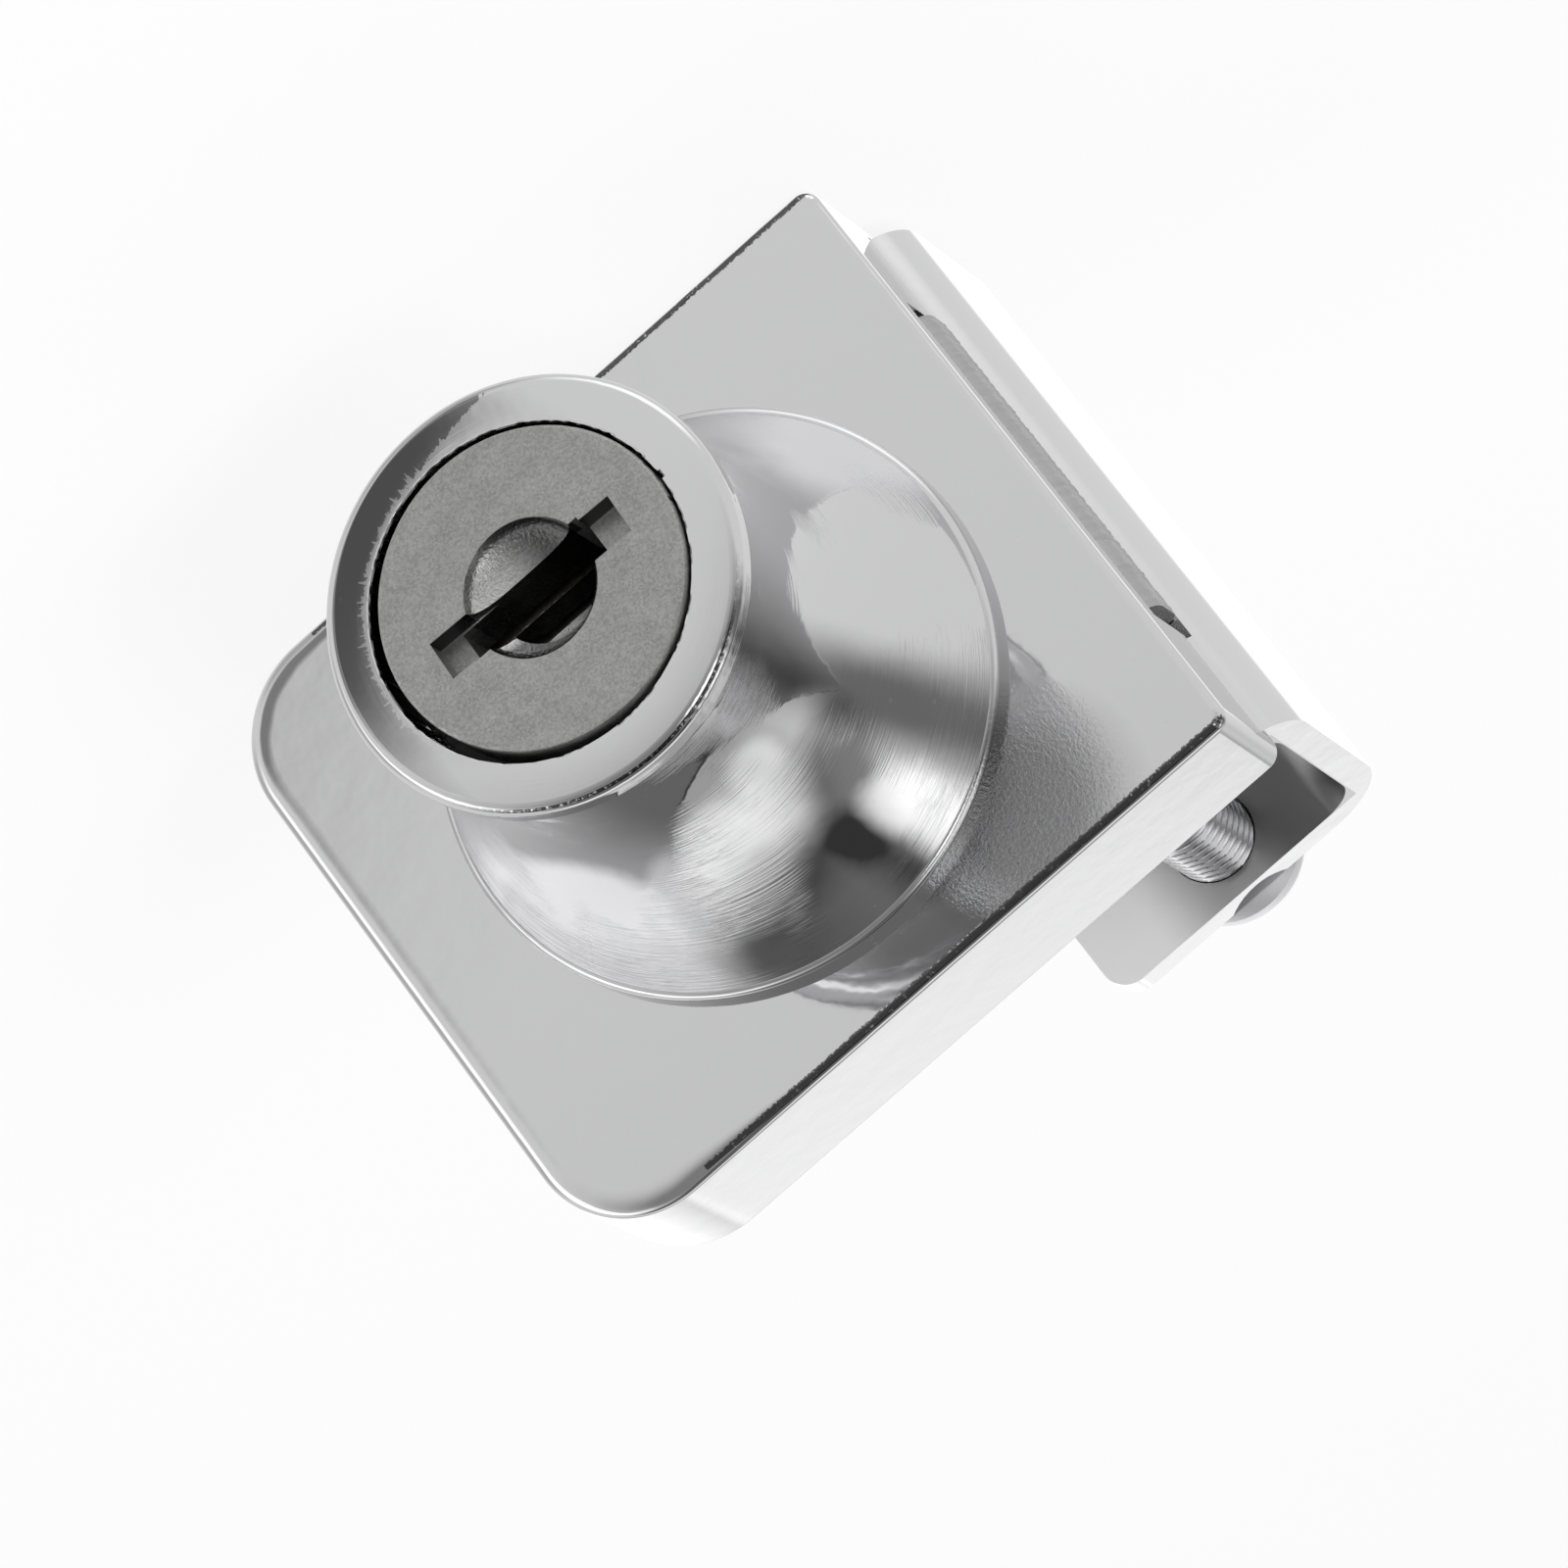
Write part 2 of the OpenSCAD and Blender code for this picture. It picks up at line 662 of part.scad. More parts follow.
housing();
plug();
retaining_clip();
crank_pin();
wafer(1);  // wafer_1
wafer(2);  // wafer_2
wafer(3);  // wafer_3
wafer(4);  // wafer_4
wafer(5);  // wafer_5
wafer_spring(1);  // wafer_spring_1
wafer_spring(2);  // wafer_spring_2
wafer_spring(3);  // wafer_spring_3
wafer_spring(4);  // wafer_spring_4
wafer_spring(5);  // wafer_spring_5
bolt();
clamp_bracket();
bracket_screws();
clamp_screw(1);  // clamp_screw_upper
clamp_screw(-1);  // clamp_screw_lower
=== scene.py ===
import math

import bpy
import numpy as np
from mathutils import Matrix, Quaternion, Vector


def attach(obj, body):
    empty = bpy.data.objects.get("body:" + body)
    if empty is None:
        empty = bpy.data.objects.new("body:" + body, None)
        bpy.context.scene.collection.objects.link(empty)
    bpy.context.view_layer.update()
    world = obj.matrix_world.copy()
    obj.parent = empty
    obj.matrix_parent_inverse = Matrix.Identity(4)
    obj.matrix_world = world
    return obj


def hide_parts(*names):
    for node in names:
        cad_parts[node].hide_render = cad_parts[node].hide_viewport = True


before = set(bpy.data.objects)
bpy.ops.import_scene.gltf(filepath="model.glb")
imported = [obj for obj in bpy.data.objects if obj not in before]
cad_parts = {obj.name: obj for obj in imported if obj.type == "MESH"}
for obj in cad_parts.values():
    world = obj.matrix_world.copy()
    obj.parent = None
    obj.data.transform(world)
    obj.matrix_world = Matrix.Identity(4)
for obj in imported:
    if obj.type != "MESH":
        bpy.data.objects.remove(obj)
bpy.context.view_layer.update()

# Camera
# It stands in front, a little above and to the clamp's side, and is turned on its
# side as the photograph is. It aims at a point of the boss just above its axis.
MM = 0.001
eye = Vector((-58.29, -345.06, 162.13)) * MM
aim = Vector((-0.068, -6.433, 4.574)) * MM
roll = math.radians(142.736)
camera_data = bpy.data.cameras.new("camera")
camera_data.lens = 204.3
camera_data.sensor_width = 36.0
camera_data.clip_start = 0.01
camera = bpy.data.objects.new("camera", camera_data)
camera.location = eye
camera.rotation_mode = "QUATERNION"
camera.rotation_quaternion = (aim - eye).to_track_quat("-Z", "Y") @ Quaternion((0, 0, 1), roll)
bpy.context.scene.collection.objects.link(camera)
bpy.context.scene.camera = camera
bpy.context.scene.view_settings.view_transform = "Standard"


# Studio surround
# A white tent lights the lock from all sides. The lamps, gaps and dark gear of the studio are
# soft elliptical patches of the surround, which the polished plating mirrors.
def add(tree, kind, inputs=(), **settings):
    """Adds one shader node with its settings. Its inputs are given in order, or by name or number, and
    each is a value, an output to link, or a node that stands for its first output."""
    made = tree.nodes.new("ShaderNode" + kind)
    for name, value in settings.items():
        setattr(made, name, value)
    for key, value in inputs.items() if isinstance(inputs, dict) else enumerate(inputs):
        if isinstance(value, bpy.types.Node):
            value = value.outputs[0]
        if isinstance(value, bpy.types.NodeSocket):
            tree.links.new(value, made.inputs[key])
        else:
            made.inputs[key].default_value = value
    return made


def towards(azimuth, elevation):
    """Direction as a vector: azimuth 0 is the front (-Y), 90 is +X, and elevation is up."""
    a, e = math.radians(azimuth), math.radians(elevation)
    return (math.sin(a) * math.cos(e), -math.cos(a) * math.cos(e), math.sin(e))


# What it is: azimuth, elevation, turn, half width and half height in degrees, change of brightness, softness
patches = {
    "window_behind": (171, -5, 20, 17, 25, 1.0, 0.3),
    "gap_in_the_roof": (84, 73, 25, 26, 35, -0.75, 0.25),
    "dark_beam_left": (-108, 36, 12, 42, 13, -0.75, 0.65),
    "camera_and_gear": (-1, 26, -31, 39, 34, -0.65, 0.35),
    "strip_light_right": (56, -1, -17, 10, 30, 1.1, 0.3),
    "reflector_low_left": (-53, -46, -22, 24, 14, 0.7, 0.4),
    "stand_behind_left": (-138, 60, 12, 11, 19, -0.65, 0.55),
    "small_lamp_over_the_beam": (-105, 65, 40, 8, 12, 0.85, 0.4),
    "tripod_foot": (19, -36, -8, 9, 10, -0.65, 0.35),
    "ring_lamp_at_the_camera": (-9, 19, 18, 7, 13, 1.8, 0.55),
    "soft_box_behind_right": (140, 48, -46, 15, 24, 0.85, 0.4),
    "dark_wall_behind": (159, 36, 4, 31, 31, -0.45, 0.45),
    "lamp_on_the_wall": (170, 20, 0, 6, 5, 0.6, 0.4),
    "light_seam_behind": (-170, 12, 0, 15, 15, 0.25, 0.4),
    "soft_box_high_left": (-36, 54, 0, 18, 18, 0.85, 0.4),
    "lamp_right": (54, 29, 0, 10, 9, 0.55, 0.4),
    "high_lamp_behind": (-176, 46, 0, 10, 10, 0.5, 0.4),
    "low_lamp_behind": (-160, -29, 0, 12, 9, 0.45, 0.4),
    "shade_low_right": (74, -28, 0, 18, 17, -0.3, 0.4),
    "shade_under_the_camera": (18, -67, 0, 17, 17, -0.35, 0.4),
}
tent, darkest, far_side = 0.96, 0.05, 20.0
world = bpy.data.worlds.new("studio")
bpy.context.scene.world = world
world.use_nodes = True
sky = world.node_tree
sky.nodes.clear()
look = add(sky, "TexCoord").outputs["Generated"]
brightness = tent
for azimuth, elevation, spin, half_w, half_h, change, soft in patches.values():
    middle = Vector(towards(azimuth, elevation))
    level = Vector((math.cos(math.radians(azimuth)), math.sin(math.radians(azimuth)), 0))
    facing = Matrix((level, middle.cross(level), middle)).transposed()
    facing = facing @ Matrix.Rotation(math.radians(spin), 3, "Z")
    size = (math.radians(half_w), math.radians(half_h), 1)
    local = add(sky, "Mapping", {"Vector": look, "Rotation": facing.to_euler(), "Scale": size},
                vector_type="TEXTURE")
    axes = add(sky, "SeparateXYZ", (local,)).outputs
    # What lies on the far side of the surround is pushed off the patch
    behind = add(sky, "Math", (axes["Z"], 0.0), operation="MINIMUM")
    behind = add(sky, "Math", (behind, far_side), operation="MULTIPLY")
    spot = add(sky, "CombineXYZ", (axes["X"], axes["Y"], behind))
    off = add(sky, "VectorMath", (spot,), operation="LENGTH").outputs["Value"]
    share = add(sky, "MapRange", (off, 1 - soft, 1 + soft, change, 0.0), interpolation_type="SMOOTHSTEP")
    brightness = add(sky, "Math", (brightness, share), operation="ADD")
brightness = add(sky, "Math", (brightness, darkest), operation="MAXIMUM")
to_camera = add(sky, "LightPath").outputs["Is Camera Ray"]
strength = add(sky, "Mix", {0: to_camera, 2: brightness, 3: 1.0})
shine = add(sky, "Background", {"Color": (1, 1, 1, 1), "Strength": strength})
add(sky, "OutputWorld", {"Surface": shine})


# Floor
# A plain white table under the lower edge of the plate. It shows white to the camera and keeps
# the shadow of the lock, and the plating mirrors the surround through it.
def grid_mesh(name, points, faces):
    """Mesh of an array of points in millimetres and a list of faces."""
    mesh = bpy.data.meshes.new(name)
    mesh.from_pydata((np.asarray(points, float) * MM).tolist(), [], faces)
    mesh.update()
    return mesh


def place(name, mesh, material):
    """Object of a mesh, with its material, at the origin."""
    piece = bpy.data.objects.new(name, mesh)
    bpy.context.scene.collection.objects.link(piece)
    mesh.materials.append(material)
    return piece


def blank(name):
    """Material without nodes, and its node tree."""
    made = bpy.data.materials.new(name)
    made.use_nodes = True
    made.node_tree.nodes.clear()
    return made, made.node_tree


floor_z, floor_half = -16.05, 1500.0
paint, glow_part = 0.86, 0.86
# White paint
white_paint, tree = blank("white_table")
path = add(tree, "LightPath").outputs
mirrored = add(tree, "Math", (path["Is Glossy Ray"], path["Is Transmission Ray"]), operation="MAXIMUM")
matt = add(tree, "BsdfDiffuse", {"Color": (paint, paint, paint, 1)})
glow = add(tree, "Emission", {"Color": (1, 1, 1, 1), "Strength": 1.0})
clear = add(tree, "BsdfTransparent")
glow_share = add(tree, "Math", (path["Is Camera Ray"], glow_part), operation="MULTIPLY")
lit = add(tree, "MixShader", (glow_share, matt, glow))
both = add(tree, "MixShader", (mirrored, lit, clear))
add(tree, "OutputMaterial", {"Surface": both})
floor_corners = [(-floor_half, -floor_half, floor_z), (floor_half, -floor_half, floor_z),
                 (floor_half, floor_half, floor_z), (-floor_half, floor_half, floor_z)]
floor = place("floor", grid_mesh("floor", floor_corners, [(0, 1, 2, 3)]), white_paint)


# Lamps
# Two large soft boxes give the matt surfaces their shape and the floor its faint shadow.
def lamp(name, azimuth, elevation, power):
    """Square area lamp of 0.3 m, half a metre away and aimed at the lock."""
    data = bpy.data.lights.new(name, "AREA")
    data.size = 0.3
    data.energy = power
    made = bpy.data.objects.new(name, data)
    made.location = Vector(towards(azimuth, elevation)) * 0.5
    made.rotation_mode = "QUATERNION"
    made.rotation_quaternion = Vector(towards(azimuth, elevation)).to_track_quat("Z", "Y")
    made.visible_glossy = False
    bpy.context.scene.collection.objects.link(made)


lamp("soft_box_left", -60, 55, 0.9)
lamp("soft_box_right", 50, 40, 0.5)


# Housing
# Die-cast zinc, polished and plated with chromium: a square plate with a round boss that
# flares out again round the plug. Bore, bolt chamber and the seat of the clamp are cast in.
def linear(code):
    """Linear colour of an sRGB hex code."""
    parts = [int(code[i:i + 2], 16) / 255 for i in (0, 2, 4)]
    return tuple(c / 12.92 if c <= 0.04045 else ((c + 0.055) / 1.055) ** 2.4 for c in parts) + (1,)


def solid(name, rings):
    """Closed mesh through rings of points, k rings of n points, with a flat face on both ends."""
    rings = np.asarray(rings, float)
    k, n, _ = rings.shape
    index = np.arange(k * n).reshape(k, n)
    after = np.roll(index, -1, axis=1)
    quads = np.stack([index[:-1], after[:-1], after[1:], index[1:]], axis=-1).reshape(-1, 4)
    points = rings.reshape(-1, 3)
    a, b, c, d = (points[quads[:, i]] for i in range(4))
    centre = points.mean(0)
    normals = np.cross(b - centre, c - centre) + np.cross(c - centre, d - centre)
    volume = np.einsum("ij,ij->i", a - centre, normals).sum()
    faces = quads.tolist() + [index[0][::-1].tolist(), index[-1].tolist()]
    if volume < 0:
        faces = [f[::-1] for f in faces]
    return grid_mesh(name, points, faces)


def hoop(name, rings):
    """Closed mesh through rings of points round an axis, whose last ring joins the first."""
    k, n, _ = rings.shape
    index = np.arange(k * n).reshape(k, n)
    index = np.concatenate([index, index[:1]])
    after = np.roll(index, -1, axis=1)
    quads = np.stack([index[:-1], index[1:], after[1:], after[:-1]], axis=-1).reshape(-1, 4)
    return grid_mesh(name, rings.reshape(-1, 3), quads.tolist())


def turned(profile, segments):
    """Rings of a profile of (radius, depth) pairs turned round the axis of the plug:
    x = r cos t, z = r sin t."""
    t = 2 * math.pi * np.arange(segments) / segments
    r, y = np.asarray(profile, float).T
    return np.stack([np.outer(r, np.cos(t)), np.outer(y, np.ones(segments)), np.outer(r, np.sin(t))], axis=-1)


def box(name, low, high):
    """Closed box between two corners."""
    x, z = np.array([low[0], high[0], high[0], low[0]]), np.array([low[2], low[2], high[2], high[2]])
    return solid(name, [np.stack([x, np.full(4, y), z], axis=-1) for y in (low[1], high[1])])


def carve(mesh, others, operation="DIFFERENCE"):
    """Mesh with other closed meshes cut out of it or joined to it."""
    base = bpy.data.objects.new("carved", mesh)
    bpy.context.scene.collection.objects.link(base)
    tools = []
    for other in others:
        tool = bpy.data.objects.new("tool", other)
        bpy.context.scene.collection.objects.link(tool)
        tools.append(tool)
        step = base.modifiers.new("cut", "BOOLEAN")
        step.operation = operation
        step.solver = "EXACT"
        step.object = tool
    bpy.context.view_layer.update()
    result = bpy.data.meshes.new_from_object(base.evaluated_get(bpy.context.evaluated_depsgraph_get()))
    for old in [base] + tools:
        bpy.data.objects.remove(old)
    return result


def ragged(count, low, high, seed):
    """Closed line of count random heights between -1 and 1, made of waves between two counts a turn."""
    wave = np.fft.rfft(np.random.default_rng(seed).normal(size=count))
    wave[:low] = 0
    wave[high:] = 0
    line = np.fft.irfft(wave, count)
    return line / np.abs(line).max()


plate_front, flange_front, plate_half = -6.8, -26.8, 16.0
clamp_edge, far_edge = -16.8, 18.5
near_r, far_r, edge_r = 0.8, 5.0, 0.45
quarter = np.linspace(0, math.pi / 2, 13)


def outline(inset, y):
    """Ring round the plate, a rectangle with round corners, drawn in by an inset. The rounded edge
    gets wider towards the far side: width = edge + 0.75 s(x), s = smooth step from x 6 to 15 mm."""
    arcs = []
    for cx, cz, r, start in ((clamp_edge + near_r, plate_half - near_r, near_r, 90),
                             (clamp_edge + near_r, -plate_half + near_r, near_r, 180),
                             (far_edge - far_r, -plate_half + far_r, far_r, 270),
                             (far_edge - far_r, plate_half - far_r, far_r, 0)):
        t = math.radians(start) + np.linspace(0, math.pi / 2, 25)
        arcs.append(np.stack([cx + r * np.cos(t), np.zeros(25), cz + r * np.sin(t)], axis=-1))
    ring = np.concatenate(arcs)
    ends = np.roll(ring, -1, axis=0)
    fill = 60
    dense = ring[:, None] + (ends - ring)[:, None] * (np.arange(fill) / fill)[None, :, None]
    straight = np.linalg.norm(ends - ring, axis=1) > 2
    ring = np.concatenate([dense[i] if straight[i] else ring[i:i + 1] for i in range(len(ring))])
    flat = ring[:, [0, 2]]
    step = np.roll(flat, -1, axis=0) - np.roll(flat, 1, axis=0)
    inward = np.stack([-step[:, 1], step[:, 0]], axis=-1) / np.linalg.norm(step, axis=1)[:, None]
    far = np.clip((flat[:, 0] - 6) / 9, 0, 1)
    width = edge_r + 0.75 * far * far * (3 - 2 * far) + 0.05 * ragged(len(flat), 8, 90, 3)
    flat = flat + inward * (inset / edge_r * width)[:, None]
    return np.stack([flat[:, 0], np.full(len(flat), y), flat[:, 1]], axis=-1)


# The front edge is a superellipse: inset = r (1 - cos^0.8 t), depth = r (1 - sin^0.8 t)
edge_power = 0.8
slab_rings = [outline(0, 0.0), outline(0, -0.5), outline(0, plate_front + edge_r + 0.05)]
slab_rings += [outline(edge_r * (1 - math.cos(t) ** edge_power),
                       plate_front + edge_r * (1 - math.sin(t) ** edge_power))
               for t in quarter]

# Profile of the boss as (radius, height over the plate): foot, cone, curve to the neck, flare, lip,
# face, bore
foot_r, foot_h, foot_round, cone_r, cone_h, cone_slope = 13.0, 0.6, 0.3, 12.7, 0.9, 4.1 / 7.0
neck_r, flange_r, flare_from, flare_h = 8.3, 9.3, 16.6, 2.2
curve_low, curve_high = 2.5, 14.5
curve_r, meet = cone_r - cone_slope * (curve_low - cone_h), cone_h + (cone_r - neck_r) / cone_slope
lip_r, lip_h, lip_stop, boss_h, dome = 0.42, 19.47, math.radians(6), 20.0, 0.1
mouth_r, face_w, recess_r, recess_h, bore_r, sunk = 7.2, 1.7, 7.15, 17.8, 6.7, -0.6
boss = [(foot_r - 0.1, sunk), (foot_r, sunk), (foot_r, foot_h - 0.05)]
boss += [(cone_r + foot_round * math.cos(t), foot_h + foot_round * math.sin(t))
         for t in np.linspace(0, math.pi / 2, 7)]
boss += [(cone_r - cone_slope * (h - cone_h), h) for h in np.linspace(1.0, curve_low, 8)]
boss += [((1 - t) ** 2 * curve_r + (1 - (1 - t) ** 2) * neck_r,
          (1 - t) ** 2 * curve_low + 2 * t * (1 - t) * meet + t * t * curve_high)
         for t in np.linspace(0, 1, 40)[1:]]
boss += [(neck_r, h) for h in np.linspace(14.8, 16.4, 4)]
boss += [(neck_r + (flange_r - neck_r) * (1 - math.cos(t)), flare_from + flare_h * math.sin(t))
         for t in np.linspace(0, math.pi / 2, 24)]
boss += [(flange_r, 19.0), (flange_r, 19.2)]
boss += [(flange_r - lip_r + lip_r * math.cos(t), lip_h + lip_r * math.sin(t))
         for t in np.linspace(0, math.pi / 2 - lip_stop, 14)]
boss += [(mouth_r + face_w * t, boss_h - dome * (0.25 * t + 0.75 * t * t)) for t in np.linspace(1, 0, 40)[1:]]
boss += [(recess_r, boss_h - 0.07), (recess_r, recess_h), (bore_r, recess_h), (bore_r, sunk)]
around_n = 320
boss_rings = turned([(r, plate_front - h) for r, h in boss], around_n)

# Fine ribs across the lip near 113 degrees, left by a tool, and small dents all round it
degrees = np.degrees(2 * math.pi * np.arange(around_n) / around_n)
rib_pitch, rib_middle, rib_half, rib_depth, rib_cap = 3.2, 113, 16, 0.0022, 0.2
ribs = np.sin(2 * math.pi * degrees / rib_pitch) * np.clip(1 - np.abs(degrees - rib_middle) / rib_half, 0, 1)
ribs = np.minimum(ribs + 0.35 * ragged(around_n, 10, 120, 23), rib_cap) - rib_cap
radii, heights = np.array(boss).T
on_lip = (heights > 18.9) & (radii > 9.0)
boss_rings[:, :, [0, 2]] *= 1 + rib_depth * (on_lip[:, None] * ribs[None, :])[:, :, None]

# Chips in the mouth round the plug
mouth = len(boss) - 4
for ring, share in ((mouth - 1, 0.4), (mouth, 1.0), (mouth + 1, 0.8)):
    chip = np.clip(ragged(around_n, 12, 110, 5) - 0.05, 0, 1) * share
    boss_rings[ring, :, 1] += 0.10 * chip
    boss_rings[ring, :, [0, 2]] *= 1 + 0.012 * chip

slab = carve(solid("slab", slab_rings), [
    solid("bore", turned([(bore_r, -7.6), (bore_r, -4.9)], 256)),
    solid("clip_pocket", turned([(8.1, -5.9), (8.1, -4.9)], 128)),
    box("chamber", (clamp_edge - 1, -5.05, -9.4), (8.6, 0.5, 9.4)),
    box("seat", (clamp_edge - 1, -1.42, -14.92), (13.17, 0.5, 14.92))])
casting_mesh = carve(slab, [hoop("boss", boss_rings)], "UNION")
casting_mesh = carve(casting_mesh, [box("notch", (-7.35, -27.5, -0.2), (-6.8, -26.2, 0.2)),
                                    box("wafer_grooves", (-7.4, -24.2, -2.03), (7.4, -4.9, 2.03))])
casting_mesh.name = "housing_casting"


def inside(tree, value, low=None, high=None):
    """Share that is 1 where a value lies between the limits that are given, else 0."""
    share = 1.0
    for limit, test in ((low, "GREATER_THAN"), (high, "LESS_THAN")):
        if limit is not None:
            passed = add(tree, "Math", (value, limit), operation=test)
            share = add(tree, "Math", (share, passed), operation="MULTIPLY")
    return share


def round_axis(tree, here):
    """Place across the axis of the plug, the distance from the axis and the direction away from it."""
    flat = add(tree, "VectorMath", (here, (1, 0, 1)), operation="MULTIPLY")
    radius = add(tree, "VectorMath", (flat,), operation="LENGTH").outputs["Value"]
    return flat, radius, add(tree, "VectorMath", (flat,), operation="NORMALIZE")


def painted_reflection_crescent(tree, turn_now, radius, spoke, chips):
    """Share of the crescent on the face of the flange where a dark reflection is painted: it lies between
    an inner radius, which runs out to the rim from -80 to -116 degrees, and an outer one, has a chipped
    and barbed inner rim, and fades from -45 to 34 degrees."""
    closing = add(tree, "MapRange", (turn_now, -80.0, -116.0))
    closing = add(tree, "Math", (closing, 1.9), operation="POWER")
    inner_r = add(tree, "MapRange", (closing, 0.0, 1.0, 7.46 * MM, 9.2 * MM))
    chipped = add(tree, "MapRange", (chips, 0.3, 0.7, -0.16 * MM, 0.16 * MM))
    barbs = add(tree, "TexNoise", {"Vector": spoke, "Scale": 26.0, "Detail": 1.0})
    barbed = add(tree, "MapRange", (barbs, 0.58, 0.72, 0.0, 0.5 * MM))
    fringe = add(tree, "Math", (chipped, barbed), operation="ADD")
    inner_r = add(tree, "Math", (inner_r, fringe), operation="ADD")
    off_middle = add(tree, "Math", (turn_now, 5.0), operation="ADD")
    off_middle = add(tree, "Math", (off_middle,), operation="ABSOLUTE")
    outer_r = add(tree, "MapRange", (off_middle, 0.0, 100.0, 8.68 * MM, 8.96 * MM))
    slant = add(tree, "MapRange", (radius, 7.4 * MM, 9.0 * MM, 12.0, -8.0))
    slanted = add(tree, "Math", (turn_now, slant), operation="ADD")
    fade = add(tree, "MapRange", (slanted, -45.0, 34.0, 1.0, 0.0), interpolation_type="SMOOTHSTEP")
    fade = add(tree, "Math", (fade, 0.45), operation="POWER")
    return add(tree, "Math", (inside(tree, radius, inner_r, outer_r), fade), operation="MULTIPLY")


def plating(name, base, streaks, cast):
    """Bright chromium plate, a mirror with faint orange peel and a few pits. A casting (cast = 1) also has
    polishing marks of a depth in millimetres round the boss, dark places and lines of painted reflection
    and a bore wall darkened with painted shade; the sheet has painted light at the end of its rear leg."""
    made, tree = blank(name)
    here = add(tree, "TexCoord").outputs["Object"]
    at = add(tree, "SeparateXYZ", (here,)).outputs
    x, depth, z = at["X"], at["Y"], at["Z"]
    flat, radius, spoke = round_axis(tree, here)
    turn_now = add(tree, "Math", (z, x), operation="ARCTAN2")
    turn_now = add(tree, "Math", (turn_now, 180 / math.pi), operation="MULTIPLY")
    on_flange = inside(tree, depth, high=(flange_front + 0.3) * MM)
    chips = add(tree, "TexNoise", {"Vector": here, "Scale": 1 / (0.22 * MM), "Detail": 4.0, "Roughness": 0.7})

    # Polishing marks, rings 0.16 mm apart that run round the boss and come and go
    lift = add(tree, "Math", (radius, depth), operation="ADD")
    lift = add(tree, "Math", (lift, 1 / (0.16 * MM)), operation="MULTIPLY")
    turns = add(tree, "VectorMath", {0: spoke, "Scale": 2.2}, operation="SCALE")
    lathe = add(tree, "VectorMath", (turns, add(tree, "CombineXYZ", {"Y": lift})), operation="ADD")
    marks = add(tree, "TexNoise", {"Vector": lathe, "Scale": 1.0, "Detail": 3.0, "Roughness": 0.6})
    on_boss = add(tree, "MapRange", (depth, (plate_front - 0.2) * MM, (plate_front - 1.2) * MM))
    clouds = add(tree, "TexNoise", {"Vector": here, "Scale": 1 / (5 * MM), "Detail": 2.0})
    patchy = add(tree, "MapRange", (clouds, 0.42, 0.62))
    off_face = add(tree, "MapRange", (depth, (flange_front + 0.3) * MM, (flange_front + 0.8) * MM, 0.15))
    streak = marks
    for share in (on_boss, patchy, off_face):
        streak = add(tree, "Math", (streak, share), operation="MULTIPLY")

    # Orange peel of 1.6 mm, then the marks, then pits up to 0.1 of a cell of 1.1 mm
    cells = add(tree, "TexVoronoi", {"Vector": here, "Scale": 1 / (1.1 * MM)}).outputs
    pit_size = add(tree, "SeparateColor", (cells["Color"],))
    pit_size = add(tree, "Math", (pit_size, 0.1), operation="MULTIPLY")
    pits = add(tree, "Math", (cells["Distance"], pit_size), operation="GREATER_THAN")
    peel = add(tree, "TexNoise", {"Vector": here, "Scale": 1 / (1.6 * MM), "Detail": 2.0})
    normal = add(tree, "Bump", {"Height": peel, "Strength": 1.0, "Distance": 0.005 * MM})
    normal = add(tree, "Bump", {"Height": streak, "Strength": 1.0, "Distance": streaks * MM,
                                "Normal": normal})
    normal = add(tree, "Bump", {"Height": pits, "Strength": 0.3, "Distance": 0.01 * MM, "Normal": normal})

    # Bore wall painted dark: painted shade in the gap round the plug
    bore = cast
    for share in (inside(tree, radius, high=7.17 * MM), inside(tree, depth, (flange_front + 0.16) * MM)):
        bore = add(tree, "Math", (bore, share), operation="MULTIPLY")
    tone = add(tree, "Mix", {0: bore, 6: linear(base), 7: linear("2c2c2c")}, data_type="RGBA").outputs[2]

    # Crescent on the face of the flange painted darker, a painted reflection
    crescent = cast
    for share in (painted_reflection_crescent(tree, turn_now, radius, spoke, chips), on_flange):
        crescent = add(tree, "Math", (crescent, share), operation="MULTIPLY")
    tone = add(tree, "Mix", {0: crescent, 6: tone, 7: linear("828282")}, data_type="RGBA").outputs[2]

    # Broken dark line painted along the top of the lip, a painted reflection
    line = on_flange
    for share in (inside(tree, radius, 9.08 * MM, 9.2 * MM),
                  add(tree, "MapRange", (turn_now, 30.0, 52.0)),
                  add(tree, "MapRange", (turn_now, 150.0, 120.0)),
                  add(tree, "MapRange", (chips, 0.35, 0.5, 0.0, cast))):
        line = add(tree, "Math", (line, share), operation="MULTIPLY")
    tone = add(tree, "Mix", {0: line, 6: tone, 7: linear("3a3a3a")}, data_type="RGBA").outputs[2]
